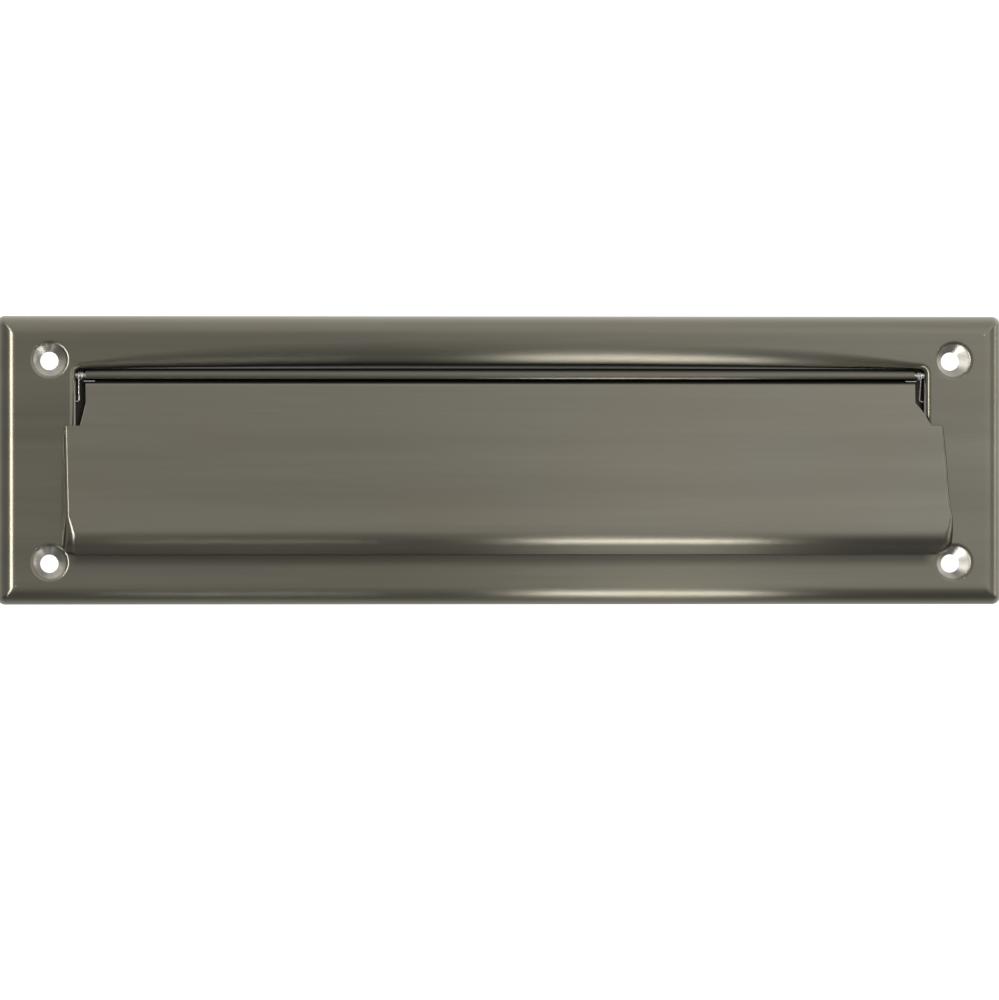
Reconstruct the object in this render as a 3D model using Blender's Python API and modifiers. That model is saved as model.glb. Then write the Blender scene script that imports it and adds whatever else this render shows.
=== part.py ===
"""Letter plate for a door: a pressed plate with rolled edges, whose flap lifts outwards on a hinge rod
and is held shut by two small torsion springs.

Metres, +Z up, +X to the right as seen from outside the door. The door's face is the plane Y = 0, and
outside is towards -Y. The origin is the plate's centre, on the door's face.
"""

import math

import bmesh
import bpy

# Face plate
PLATE_WIDTH = 0.3334
PLATE_HEIGHT = 0.0952
PLATE_DEPTH = 0.0064  # from the door's face to the plate's front
PLATE_SHEET = 0.001
PLATE_CORNER = 0.003
SHARPEST_CORNER = 0.0008  # the mitre line that runs in from each corner of the rolled rim
RIM_RADIUS = 0.006

# Opening, whose lip is rolled inwards and ends in a collar that reaches into the door. The collar's upper
# back edge is turned in again, behind the flap's neck and hinge, as a hood.
OPENING_HALF_WIDTH = 0.1408
OPENING_TOP = 0.0303
OPENING_BOTTOM = -0.0233
OPENING_CORNER = 0.0018
COLLAR_BACK = 0.0025
HOOD_BACK = 0.0024
HOOD_HALF_WIDTH = 0.1363
HOOD_TOP = 0.0291
HOOD_CORNER = 0.001
HOOD_FOOT = 0.009
SIDE_LIP = (0.0022, 0.0022)  # how deep and how wide its roll is
TOP_LIP = (  # (distance in from the end, depth, width): the top lip's roll opens out from each end
    (0.000, 0.0022, 0.0022),
    (0.006, 0.0028, 0.0030),
    (0.013, 0.0035, 0.0041),
    (0.022, 0.0042, 0.0052),
    (0.036, 0.0050, 0.0065),
    (0.062, 0.0060, 0.0080),
    (0.100, 0.0068, 0.0092),
)

# Screw holes, each in a soft dimple
HOLE_X = 0.1494
HOLE_HEIGHTS = (-0.0341, 0.0327)
HOLE_RADIUS = 0.003
LEFT_DRIFT = (0.0, 0.0005)  # (x, z) from a hole to the middle of its dimple
RIGHT_DRIFT = (0.0012, 0.0005)
DIMPLE_RADIUS = 0.0066
DIMPLE_SHOULDER = 0.0018
DIMPLE_SLOPE = math.radians(38)

# Hinge
AXIS_Y = -0.0032
AXIS_Z = 0.028
ROD_RADIUS = 0.0011
ROD_HALF_LENGTH = 0.1445
ROD_CHAMFER = 0.0002
RUNNING_GAP = 0.0003
CLIP_RADIUS = 0.0018
CLIP_RIM = 0.0003  # the flat ring round its dish
CLIP_BORE = 0.00125
CLIP_THICKNESS = 0.0003
CLIP_DISH = 0.0003
CLIP_X = 0.1424

# Flap, measured on its outer surface
FLAP_SHEET = 0.0007
FLAP_HALF_WIDTH = 0.1376
FLAP_LEAN = math.radians(7.2)
FLAP_TOP = 0.02515
FLAP_TOP_Y = -0.0060
LEDGE_RISE = math.radians(25)
CURL_END = math.radians(215)
BROW_RADIUS = 0.0012
FLAP_BOTTOM = -0.0310
FOOT_Y = -0.0080
LOWER_BEND_RADIUS = 0.0065
LOWER_BEND_ANGLE = math.radians(42)  # how far back from upright the flap's lower lip leans
FACE_NARROWS = 0.008  # how much further in the flat of the face ends at the foot than at the shoulders
FACE_NARROWS_OVER = 0.030

# Flap outline: (height, distance from the middle), from the hinge down. The right wing is the wider one.
SHOULDER_Z = 0.0114
LEFT_NECK = ((0.0190, 0.1376), (0.0150, 0.1386), (0.0114, 0.1396))
RIGHT_NECK = ((0.0190, 0.1376), (0.0165, 0.1398), (0.0114, 0.1429))
LEFT_WING = ((0.0114, 0.1449), (-0.0180, 0.1455), (-0.0275, 0.1455))
RIGHT_WING = (
    (0.0114, 0.1468),
    (0.0000, 0.1479),
    (-0.0106, 0.1486),
    (-0.0155, 0.1491),
    (-0.0205, 0.1501),
    (-0.0265, 0.1498),
)
LEFT_FLARE = 0.28  # how far in the wing's turned-back side leans, in parts of its depth
RIGHT_FLARE = 0.06
WING_BASE_Y = -0.00675
WING_BEND = 0.0012
WING_BEND_LOW = 0.0042
WING_BEND_GROWS = (-0.0180, -0.0255)  # the heights between which it opens out
MOST_BEND = 0.85  # of the wing's depth
LEFT_CORNER = 0.0026
RIGHT_CORNER = 0.005

# Torsion springs
WIRE_RADIUS = 0.0002
COIL_RADIUS = 0.0015
FULL_TURNS = 3
COIL_OUTER_X = 0.1398
LEG_HOLE_RADIUS = 0.0005
LEG_HOLE = (-0.0026, 0.0194)  # (y, z) of the hole in the collar's side that holds the fixed leg
LEG_REST = (-0.00525, 0.02605)  # (y, z) where the moving leg lies on the flap's ledge
LEG_OUT_X = 0.1421
LEG_DROP_X = 0.1395
LEG_REST_X = 0.1345
LEG_BEND = 0.0007
REST_BEND = 0.0004

# How finely the curves are cut
ARC_STEPS = 5
CURL_STEPS = 18
RING_STEPS = 28
DIMPLE_STEPS = 3
BEND_STEPS = 2
TURN_STEPS = 24
DRILL_SIDES = 20
COIL_STEP = math.radians(30)
SHARP_ANGLE = math.radians(50)
SAME_HEIGHT = 1e-9


def clear_scene():
    for obj in list(bpy.data.objects):
        bpy.data.objects.remove(obj, do_unlink=True)


def new_collection(name):
    collection = bpy.data.collections.new(name)
    bpy.context.scene.collection.children.link(collection)
    return collection


def material(name, colour, roughness, metallic=1.0):
    made = bpy.data.materials.new(name)
    made.use_nodes = True
    shader = made.node_tree.nodes["Principled BSDF"]
    shader.inputs["Base Color"].default_value = (*colour, 1.0)
    shader.inputs["Roughness"].default_value = roughness
    shader.inputs["Metallic"].default_value = metallic
    return made


def add_object(name, data, collection, finish=None):
    obj = bpy.data.objects.new(name, data)
    collection.objects.link(obj)
    if finish:
        data.materials.append(finish)
    return obj


def hide(helper):
    helper.hide_render = True
    helper.display_type = "WIRE"
    return helper


def smooth(t):
    """An even step from 0 to 1."""
    t = min(max(t, 0.0), 1.0)
    return t * t * (3 - 2 * t)


def along(table, height):
    """The value at a height in a table of (height, value) that runs downwards."""
    for (high, above), (low, below) in zip(table, table[1:]):
        if height >= low:
            t = min(max((high - height) / (high - low), 0.0), 1.0)
            return above + (below - above) * t
    return table[-1][1]


def sheet_object(name, bm, collection, finish, thickness):
    """An outer surface made solid by thickening it away from its normals."""
    mesh = bpy.data.meshes.new(name)
    bm.to_mesh(mesh)
    bm.free()
    mesh.shade_smooth()
    mesh.set_sharp_from_angle(angle=SHARP_ANGLE)
    obj = add_object(name, mesh, collection, finish)
    solidify = obj.modifiers.new("Sheet", "SOLIDIFY")
    solidify.thickness = thickness
    solidify.offset = -1
    solidify.use_even_offset = True
    solidify.use_quality_normals = True
    return obj


def skin(bm, outer, inner, closed=True):
    """Quads between two rows of vertices. Both run anticlockwise as seen from outside the door."""
    count = len(outer)
    for i in range(count if closed else count - 1):
        j = (i + 1) % count
        bm.faces.new((outer[i], outer[j], inner[j], inner[i]))


def skin_rows(bm, rows, closed=True):
    for outer, inner in zip(rows, rows[1:]):
        skin(bm, outer, inner, closed)


# ---------------------------------------------------------------- face plate


def rounded_rectangle(half_width, half_height, radius):
    """(x, z) points, anticlockwise as seen from outside."""
    points = []
    for corner, (sign_x, sign_z) in enumerate(((1, -1), (1, 1), (-1, 1), (-1, -1))):
        for step in range(ARC_STEPS + 1):
            angle = math.radians(90 * (corner - 1 + step / ARC_STEPS))
            x = sign_x * (half_width - radius) + radius * math.cos(angle)
            z = sign_z * (half_height - radius) + radius * math.sin(angle)
            points.append((x, z))
    return points


def rim_rows(bm):
    """The rolled rim, from its edge on the door to the flat of the front."""
    rows = []
    for step in range(-1, ARC_STEPS + 2):
        angle = math.radians(90) * (1 - max(step, 0) / (ARC_STEPS + 1))
        inset = RIM_RADIUS * (1 - math.sin(angle))
        y = -PLATE_DEPTH + RIM_RADIUS * (1 - math.cos(angle)) if step >= 0 else 0.0
        corner = max(PLATE_CORNER - inset, SHARPEST_CORNER)
        outline = rounded_rectangle(PLATE_WIDTH / 2 - inset, PLATE_HEIGHT / 2 - inset, corner)
        rows.append([bm.verts.new((x, y, z)) for x, z in outline])
    return rows


def opening_edge():
    """(x, z, outward x, outward z, lip depth, lip width) round the opening, anticlockwise from outside."""
    edge = []
    middle_x = OPENING_HALF_WIDTH - OPENING_CORNER
    low, high = OPENING_BOTTOM + OPENING_CORNER, OPENING_TOP - OPENING_CORNER
    for corner, (sign_x, z) in enumerate(((1, low), (1, high), (-1, high), (-1, low))):
        for step in range(ARC_STEPS + 1):
            angle = math.radians(90 * (corner - 1 + step / ARC_STEPS))
            out_x, out_z = math.cos(angle), math.sin(angle)
            x = sign_x * middle_x + OPENING_CORNER * out_x
            edge.append((x, z + OPENING_CORNER * out_z, out_x, out_z, *SIDE_LIP))
        if corner == 1:
            right = [(middle_x - inset, depth, width) for inset, depth, width in TOP_LIP[1:]]
            left = [(-x, depth, width) for x, depth, width in reversed(right)]
            for x, depth, width in right + left:
                edge.append((x, OPENING_TOP, 0.0, 1.0, depth, width))
    return edge


def lip_rows(bm):
    """The lip, from the flat of the front into the opening and back along the collar."""
    edge = opening_edge()
    rows = []
    for step in range(ARC_STEPS + 2):
        angle = math.radians(90) * step / (ARC_STEPS + 1)
        row = []
        for x, z, out_x, out_z, depth, width in edge:
            out = width * (1 - math.sin(angle))
            y = -PLATE_DEPTH + depth * (1 - math.cos(angle))
            row.append(bm.verts.new((x + out_x * out, y, z + out_z * out)))
        rows.append(row)
    rows.append([bm.verts.new((x, COLLAR_BACK, z)) for x, z, *_ in edge])
    return rows


def arch(half_width, top, radius):
    """(x, z) points up one side of the hood, over its top and down the other side."""
    points = [(half_width, HOOD_FOOT)]
    for quarter, sign_x in ((0, 1), (1, -1)):
        for step in range(ARC_STEPS + 1):
            angle = math.radians(90 * (quarter + step / ARC_STEPS))
            x = sign_x * (half_width - radius) + radius * math.cos(angle)
            points.append((x, top - radius + radius * math.sin(angle)))
    return points + [(-half_width, HOOD_FOOT)]


def hood_outline():
    """(x, z) points of the hood, an upside-down U whose outer edge runs inside the collar's sheet."""
    grown = PLATE_SHEET / 2
    outer = arch(OPENING_HALF_WIDTH + grown, OPENING_TOP + grown, OPENING_CORNER + grown)
    inner = arch(HOOD_HALF_WIDTH, HOOD_TOP, HOOD_CORNER)
    return outer + inner[::-1]


def make_hood(cutters):
    bm = bmesh.new()
    front = [bm.verts.new((x, HOOD_BACK - PLATE_SHEET, z)) for x, z in hood_outline()]
    back = [bm.verts.new((v.co.x, HOOD_BACK, v.co.z)) for v in front]
    bm.faces.new(front)
    bm.faces.new(back[::-1])
    skin(bm, front[::-1], back[::-1])
    bmesh.ops.recalc_face_normals(bm, faces=bm.faces)
    mesh = bpy.data.meshes.new("hood")
    bm.to_mesh(mesh)
    bm.free()
    return hide(add_object("hood", mesh, cutters))


def dimple_profile():
    """(radius, depth) from the dimple's edge to the screw hole: a rounded shoulder, then a cone."""
    points = []
    for step in range(DIMPLE_STEPS + 1):
        angle = DIMPLE_SLOPE * step / DIMPLE_STEPS
        radius = DIMPLE_RADIUS - DIMPLE_SHOULDER * math.sin(angle)
        points.append((radius, DIMPLE_SHOULDER * (1 - math.cos(angle))))
    radius, depth = points[-1]
    points.append((HOLE_RADIUS, depth + (radius - HOLE_RADIUS) * math.tan(DIMPLE_SLOPE)))
    return points


def dimple_rows(bm, hole_x, hole_z):
    """Rings from the dimple's edge to the hole, which isn't quite in its middle."""
    drift_x, drift_z = RIGHT_DRIFT if hole_x > 0 else LEFT_DRIFT
    rows = []
    for radius, depth in dimple_profile():
        drift = (radius - HOLE_RADIUS) / (DIMPLE_RADIUS - HOLE_RADIUS)
        row = []
        for step in range(RING_STEPS):
            angle = 2 * math.pi * step / RING_STEPS
            x = hole_x + drift_x * drift + radius * math.cos(angle)
            z = hole_z + drift_z * drift + radius * math.sin(angle)
            row.append(bm.verts.new((x, -PLATE_DEPTH + depth, z)))
        rows.append(row)
    return rows


def ring_edges(bm, row):
    made = []
    for a, b in zip(row, row[1:] + row[:1]):
        made.append(bm.edges.get((a, b)) or bm.edges.new((a, b)))
    return made


def make_face_plate(parts, cutters, finish):
    bm = bmesh.new()
    rim = rim_rows(bm)
    lip = lip_rows(bm)
    dimples = [dimple_rows(bm, x, z) for x in (-HOLE_X, HOLE_X) for z in HOLE_HEIGHTS]
    for rows in (rim, lip, *dimples):
        skin_rows(bm, rows)
    flat = ring_edges(bm, rim[-1]) + ring_edges(bm, lip[0])
    for rows in dimples:
        flat += ring_edges(bm, rows[0])
    bmesh.ops.triangle_fill(bm, edges=flat, use_beauty=True, normal=(0, -1, 0))
    plate = sheet_object("face_plate", bm, parts, finish, PLATE_SHEET)
    join = plate.modifiers.new("Hood", "BOOLEAN")
    join.operation = "UNION"
    join.object = make_hood(cutters)
    collar_outside = OPENING_HALF_WIDTH + 2 * PLATE_SHEET
    drill(plate, cutters, "rod_holes", AXIS_Y, AXIS_Z, ROD_RADIUS + RUNNING_GAP, collar_outside)
    drill(plate, cutters, "leg_holes", *LEG_HOLE, LEG_HOLE_RADIUS, collar_outside)


def drill(plate, cutters, name, y, z, radius, half_length):
    """One straight drilling along X, through both sides of the collar."""
    bpy.ops.mesh.primitive_cylinder_add(
        vertices=DRILL_SIDES,
        radius=radius,
        depth=2 * half_length,
        location=(0, y, z),
        rotation=(0, math.radians(90), 0),
    )
    cutter = bpy.context.object
    cutter.name = name
    for holder in list(cutter.users_collection):
        holder.objects.unlink(cutter)
    cutters.objects.link(hide(cutter))
    cut = plate.modifiers.new(name, "BOOLEAN")
    cut.operation = "DIFFERENCE"
    cut.object = cutter


# ---------------------------------------------------------------------- flap


def crossing(point_a, angle_a, point_b, angle_b):
    """Where two lines in the (y, z) plane cross. Each has a point and an angle above +Y."""
    ay, az = math.cos(angle_a), math.sin(angle_a)
    by, bz = math.cos(angle_b), math.sin(angle_b)
    gap_y, gap_z = point_b[0] - point_a[0], point_b[1] - point_a[1]
    t = (gap_y * bz - gap_z * by) / (ay * bz - az * by)
    return point_a[0] + ay * t, point_a[1] + az * t


def fillet(before, corner, after, radius, steps):
    """Points of an arc that rounds a corner of a path in the (y, z) plane."""
    into = math.atan2(corner[1] - before[1], corner[0] - before[0])
    out = math.atan2(after[1] - corner[1], after[0] - corner[0])
    turn = (out - into + math.pi) % (2 * math.pi) - math.pi
    side = math.copysign(1, turn)
    tangent = radius * math.tan(abs(turn) / 2)
    start = (corner[0] - tangent * math.cos(into), corner[1] - tangent * math.sin(into))
    centre = (start[0] - side * radius * math.sin(into), start[1] + side * radius * math.cos(into))
    points = []
    for step in range(steps + 1):
        angle = into - side * math.pi / 2 + turn * step / steps
        points.append((centre[0] + radius * math.cos(angle), centre[1] + radius * math.sin(angle)))
    return points


def flap_profile():
    """The flap's outer surface as a path in the (y, z) plane, from the curl's end down to the foot."""
    curl_radius = ROD_RADIUS + RUNNING_GAP
    curl_start = LEDGE_RISE - math.radians(90)
    curl = []
    for step in range(CURL_STEPS + 1):
        angle = CURL_END + (curl_start - CURL_END) * step / CURL_STEPS
        curl.append((AXIS_Y + curl_radius * math.cos(angle), AXIS_Z + curl_radius * math.sin(angle)))
    face = (FLAP_TOP_Y, FLAP_TOP), math.radians(90) - FLAP_LEAN
    foot = (FOOT_Y, FLAP_BOTTOM)
    brow = crossing(curl[-1], LEDGE_RISE, *face)
    heel = crossing(foot, LOWER_BEND_ANGLE - math.radians(90), *face)
    brow_arc = fillet(curl[-1], brow, heel, BROW_RADIUS, ARC_STEPS)
    heel_arc = fillet(brow, heel, foot, LOWER_BEND_RADIUS, 2 * ARC_STEPS)
    corners = {height for table in (LEFT_NECK, RIGHT_NECK, LEFT_WING, RIGHT_WING) for height, _ in table}
    straight = []
    for height in sorted(corners, reverse=True):
        if height > heel_arc[0][1] + RUNNING_GAP:
            straight.append((FLAP_TOP_Y - (FLAP_TOP - height) * math.tan(FLAP_LEAN), height))
    return curl + brow_arc + straight + heel_arc + [foot]


def wing_side(y, z, side):
    """(x, y) from the edge that rests by the plate, up the turned-back side, to the flat of the face."""
    wing, flare, corner = LEFT_WING, LEFT_FLARE, LEFT_CORNER
    if side > 0:
        wing, flare, corner = RIGHT_WING, RIGHT_FLARE, RIGHT_CORNER
    into_corner = min(max(FLAP_BOTTOM + corner - z, 0.0), corner)
    cut_in = corner - math.sqrt(corner**2 - into_corner**2)
    base = along(wing, z) - cut_in
    depth = WING_BASE_Y - y
    grows_from, grows_to = WING_BEND_GROWS
    bend = WING_BEND + (WING_BEND_LOW - WING_BEND) * smooth((grows_from - z) / (grows_from - grows_to))
    bend_depth = min(bend, depth * MOST_BEND)
    foot_of_bend = y + bend_depth
    wall_top = base - flare * (WING_BASE_Y - foot_of_bend)
    points = [(base, WING_BASE_Y), ((base + wall_top) / 2, (WING_BASE_Y + foot_of_bend) / 2)]
    for step in range(ARC_STEPS + 1):
        angle = math.radians(90) * step / ARC_STEPS
        x = wall_top - bend * (1 - math.cos(angle))
        points.append((x, y + bend_depth * (1 - math.sin(angle))))
    return [(side * x, point_y) for x, point_y in points]


def flap_rows(bm):
    """(neck rows, wing rows) of vertices from left to right. They share the row at the shoulders."""
    neck, wings = [], []
    for y, z in flap_profile():
        left, right = FLAP_HALF_WIDTH, FLAP_HALF_WIDTH
        if z < LEFT_NECK[0][0]:
            left, right = along(LEFT_NECK, z), along(RIGHT_NECK, z)
        narrowing = FACE_NARROWS * smooth((SHOULDER_Z - z) / FACE_NARROWS_OVER)
        left, right = left - narrowing, right - narrowing
        middle = [(x, y) for x in (-left, -left / 2, 0.0, right / 2, right)]
        row = [bm.verts.new((x, point_y, z)) for x, point_y in middle]
        if z > SHOULDER_Z - SAME_HEIGHT:
            neck.append(row)
        if z < SHOULDER_Z + SAME_HEIGHT:
            left_side = [bm.verts.new((x, py, z)) for x, py in wing_side(y, z, -1)]
            right_side = [bm.verts.new((x, py, z)) for x, py in wing_side(y, z, 1)]
            wings.append(left_side + row + right_side[::-1])
    return neck, wings


def make_flap(parts, finish):
    bm = bmesh.new()
    for rows in flap_rows(bm):
        skin_rows(bm, [row[::-1] for row in rows], closed=False)
    sheet_object("flap", bm, parts, finish, FLAP_SHEET)


# --------------------------------------------------------------------- hinge


def make_hinge_rod(parts, finish):
    bpy.ops.mesh.primitive_cylinder_add(
        vertices=TURN_STEPS,
        radius=ROD_RADIUS,
        depth=2 * ROD_HALF_LENGTH,
        location=(0, AXIS_Y, AXIS_Z),
        rotation=(0, math.radians(90), 0),
    )
    rod = bpy.context.object
    rod.name = "hinge_rod"
    for holder in list(rod.users_collection):
        holder.objects.unlink(rod)
    parts.objects.link(rod)
    rod.data.materials.append(finish)
    rod.data.shade_smooth()
    rod.data.set_sharp_from_angle(angle=SHARP_ANGLE)
    ends = rod.modifiers.new("Chamfered ends", "BEVEL")
    ends.width = ROD_CHAMFER
    ends.segments = 1
    ends.limit_method = "ANGLE"
    ends.angle_limit = math.radians(60)


def make_rod_clip(name, side, parts, finish):
    """A dished push-on clip, turned about the rod, with its dish pointing outwards."""
    rim, foot = CLIP_RADIUS, CLIP_RADIUS - CLIP_RIM
    profile = (
        (rim, CLIP_THICKNESS),
        (rim, 0.0),
        (foot, 0.0),
        (CLIP_BORE, CLIP_DISH),
        (CLIP_BORE, CLIP_DISH + CLIP_THICKNESS),
        (foot, CLIP_THICKNESS),
    )
    mesh = bpy.data.meshes.new(name)
    edges = [(i, (i + 1) % len(profile)) for i in range(len(profile))]
    mesh.from_pydata([(radius, 0.0, height) for radius, height in profile], edges, [])
    clip = add_object(name, mesh, parts, finish)
    clip.location = (side * CLIP_X, AXIS_Y, AXIS_Z)
    clip.rotation_euler = (0, side * math.radians(90), 0)
    turn = clip.modifiers.new("Turned", "SCREW")
    turn.steps = TURN_STEPS
    turn.render_steps = TURN_STEPS
    turn.use_merge_vertices = True
    turn.merge_threshold = 0.00001
    turn.use_smooth_shade = True


# ------------------------------------------------------------------- springs


def spring_path(side):
    """Points (x, y, z) along the wire: fixed leg, coil round the rod, moving leg on the flap's ledge."""
    inner_x = FLAP_HALF_WIDTH + RUNNING_GAP + WIRE_RADIUS
    hole_y, hole_z = LEG_HOLE[0] - AXIS_Y, LEG_HOLE[1] - AXIS_Z
    rest_y, rest_z = LEG_REST[0] - AXIS_Y, LEG_REST[1] - AXIS_Z
    first = math.atan2(hole_z, hole_y) % (2 * math.pi)
    first -= math.acos(COIL_RADIUS / math.hypot(hole_y, hole_z))
    last = math.atan2(rest_z, rest_y) + math.acos(COIL_RADIUS / math.hypot(rest_y, rest_z))
    last -= 2 * math.pi * FULL_TURNS
    points = [(LEG_OUT_X, *LEG_HOLE)]
    for step in range(BEND_STEPS + 1):
        angle = math.radians(90) * step / BEND_STEPS
        x = LEG_DROP_X + LEG_BEND * (1 - math.sin(angle))
        points.append((x, LEG_HOLE[0], LEG_HOLE[1] + LEG_BEND * (1 - math.cos(angle))))
    steps = round((first - last) / COIL_STEP)
    for step in range(steps + 1):
        t = step / steps
        angle = first + (last - first) * t
        y = AXIS_Y + COIL_RADIUS * math.cos(angle)
        z = AXIS_Z + COIL_RADIUS * math.sin(angle)
        points.append((COIL_OUTER_X + (inner_x - COIL_OUTER_X) * t, y, z))
    for step in range(BEND_STEPS + 1):
        angle = math.radians(90) * step / BEND_STEPS
        y = LEG_REST[0] + REST_BEND * (1 - math.sin(angle))
        points.append((inner_x - REST_BEND * (1 - math.cos(angle)), y, LEG_REST[1]))
    points.append((LEG_REST_X, *LEG_REST))
    return [(side * x, y, z) for x, y, z in points]


def make_torsion_spring(name, side, parts, finish):
    path = spring_path(side)
    curve = bpy.data.curves.new(name, "CURVE")
    curve.dimensions = "3D"
    curve.bevel_depth = WIRE_RADIUS
    curve.bevel_resolution = 1
    curve.use_fill_caps = True
    wire = curve.splines.new("POLY")
    wire.points.add(len(path) - 1)
    for point, place in zip(wire.points, path):
        point.co = (*place, 1.0)
    wire.use_smooth = True
    add_object(name, curve, parts, finish)


def main():
    clear_scene()
    parts = new_collection("letter_plate")
    cutters = new_collection("cutters")
    cutters.hide_render = True
    nickel = material("antique_nickel", (0.150, 0.138, 0.112), 0.34)
    flap_nickel = material("antique_nickel_flap", (0.155, 0.143, 0.118), 0.34)
    steel = material("rod_steel", (0.35, 0.34, 0.32), 0.35)
    wire = material("spring_wire", (0.42, 0.41, 0.39), 0.28)
    clip = material("clip_steel", (0.20, 0.19, 0.18), 0.42)
    make_face_plate(parts, cutters, nickel)
    make_flap(parts, flap_nickel)
    make_hinge_rod(parts, steel)
    for word, side in (("left", -1), ("right", 1)):
        make_rod_clip(f"{word}_rod_clip", side, parts, clip)
        make_torsion_spring(f"{word}_torsion_spring", side, parts, wire)


main()
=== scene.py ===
"""The look of the letter plate: fine meshes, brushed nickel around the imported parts, and a plain studio."""

import math

import bmesh
import bpy
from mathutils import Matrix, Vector


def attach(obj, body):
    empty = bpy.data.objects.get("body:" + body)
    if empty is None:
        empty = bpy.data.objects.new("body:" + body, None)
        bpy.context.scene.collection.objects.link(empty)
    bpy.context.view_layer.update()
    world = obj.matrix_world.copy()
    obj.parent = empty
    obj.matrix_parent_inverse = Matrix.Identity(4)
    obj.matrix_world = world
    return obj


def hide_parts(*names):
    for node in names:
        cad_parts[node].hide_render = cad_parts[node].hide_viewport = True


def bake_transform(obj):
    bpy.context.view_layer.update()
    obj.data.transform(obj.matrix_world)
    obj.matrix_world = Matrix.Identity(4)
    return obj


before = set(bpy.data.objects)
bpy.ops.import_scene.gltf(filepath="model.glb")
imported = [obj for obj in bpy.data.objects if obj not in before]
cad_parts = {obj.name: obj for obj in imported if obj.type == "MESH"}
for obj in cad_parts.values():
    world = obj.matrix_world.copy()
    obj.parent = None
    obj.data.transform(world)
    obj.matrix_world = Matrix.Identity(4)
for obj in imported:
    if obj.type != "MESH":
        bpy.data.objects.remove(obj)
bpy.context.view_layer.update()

# Face plate
PLATE_WIDTH = 0.3334
PLATE_HEIGHT = 0.0952
PLATE_DEPTH = 0.0064
PLATE_SHEET = 0.001
PLATE_CORNER = 0.003
SHARPEST_CORNER = 0.0008
RIM_RADIUS = 0.006

# Opening
OPENING_HALF_WIDTH = 0.1408
OPENING_TOP = 0.0303
OPENING_BOTTOM = -0.0233
OPENING_CORNER = 0.0018
COLLAR_BACK = 0.0025
HOOD_BACK = 0.0024
HOOD_HALF_WIDTH = 0.1363
HOOD_TOP = 0.0291
HOOD_CORNER = 0.001
HOOD_FOOT = 0.009
SIDE_LIP = (0.0022, 0.0022)  # how deep and how wide its roll is
TOP_LIP = (  # (distance in from the end, depth, width)
    (0.000, 0.0022, 0.0022),
    (0.006, 0.0028, 0.0030),
    (0.013, 0.0035, 0.0041),
    (0.022, 0.0042, 0.0052),
    (0.036, 0.0050, 0.0065),
    (0.062, 0.0060, 0.0080),
    (0.100, 0.0068, 0.0092),
)

# Screw holes
HOLE_X = 0.1494
HOLE_HEIGHTS = (-0.0341, 0.0327)
HOLE_RADIUS = 0.003
LEFT_DRIFT = (0.0, 0.0005)  # (x, z) from a hole to the middle of its dimple
RIGHT_DRIFT = (0.0012, 0.0005)
DIMPLE_RADIUS = 0.0066
DIMPLE_SHOULDER = 0.0018
DIMPLE_SLOPE = math.radians(38)

# Hinge
AXIS_Y = -0.0032
AXIS_Z = 0.028
ROD_RADIUS = 0.0011
ROD_HALF_LENGTH = 0.1445
ROD_CHAMFER = 0.0002
ROD_CENTRE_HOLE = 0.00001  # its end caps close to a point
RUNNING_GAP = 0.0003
CLIP_RADIUS = 0.0018
CLIP_RIM = 0.0003  # the flat ring round its dish
CLIP_BORE = 0.00125
CLIP_THICKNESS = 0.0003
CLIP_DISH = 0.0003
CLIP_X = 0.1424
CLIP_TEETH = 6
TOOTH_RADIUS = 0.00113
NOTCH_RADIUS = 0.00152  # between the teeth
NOTCH_SHARE = 0.75  # a notch is where the teeth's wave is above this

# Flap
FLAP_SHEET = 0.0007
FLAP_HALF_WIDTH = 0.1376
FLAP_LEAN = math.radians(7.2)
FLAP_TOP = 0.02515
FLAP_TOP_Y = -0.0060
LEDGE_RISE = math.radians(25)
CURL_END = math.radians(215)
BROW_RADIUS = 0.0012
FLAP_BOTTOM = -0.0310
FOOT_Y = -0.0080
LOWER_BEND_RADIUS = 0.0065
LOWER_BEND_ANGLE = math.radians(42)  # how far back from upright the flap's lower lip leans
FACE_NARROWS = 0.008
FACE_NARROWS_OVER = 0.030
SHOULDER_Z = 0.0114
LEFT_NECK = ((0.0190, 0.1376), (0.0150, 0.1386), (0.0114, 0.1396))
RIGHT_NECK = ((0.0190, 0.1376), (0.0165, 0.1398), (0.0114, 0.1429))
LEFT_WING = ((0.0114, 0.1449), (-0.0180, 0.1455), (-0.0275, 0.1455))
RIGHT_WING = (
    (0.0114, 0.1468),
    (0.0000, 0.1479),
    (-0.0106, 0.1486),
    (-0.0155, 0.1491),
    (-0.0205, 0.1501),
    (-0.0265, 0.1498),
)
LEFT_FLARE = 0.28  # how far in the wing's turned-back side leans, in parts of its depth
RIGHT_FLARE = 0.06
WING_BASE_Y = -0.00675
WING_BEND = 0.0012
WING_BEND_LOW = 0.0042
WING_BEND_GROWS = (-0.0180, -0.0255)
MOST_BEND = 0.85
LEFT_CORNER = 0.0026
RIGHT_CORNER = 0.005

# Torsion springs
WIRE_RADIUS = 0.0002
COIL_RADIUS = 0.0015
COIL_OUTER_X = 0.1398
FULL_TURNS = 3
LEG_HOLE_RADIUS = 0.0005
LEG_HOLE = (-0.0026, 0.0194)
LEG_REST = (-0.00525, 0.02605)
LEG_OUT_X = 0.1421
LEG_DROP_X = 0.1395
LEG_REST_X = 0.1345
LEG_BEND = 0.0007
REST_BEND = 0.0004

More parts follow.
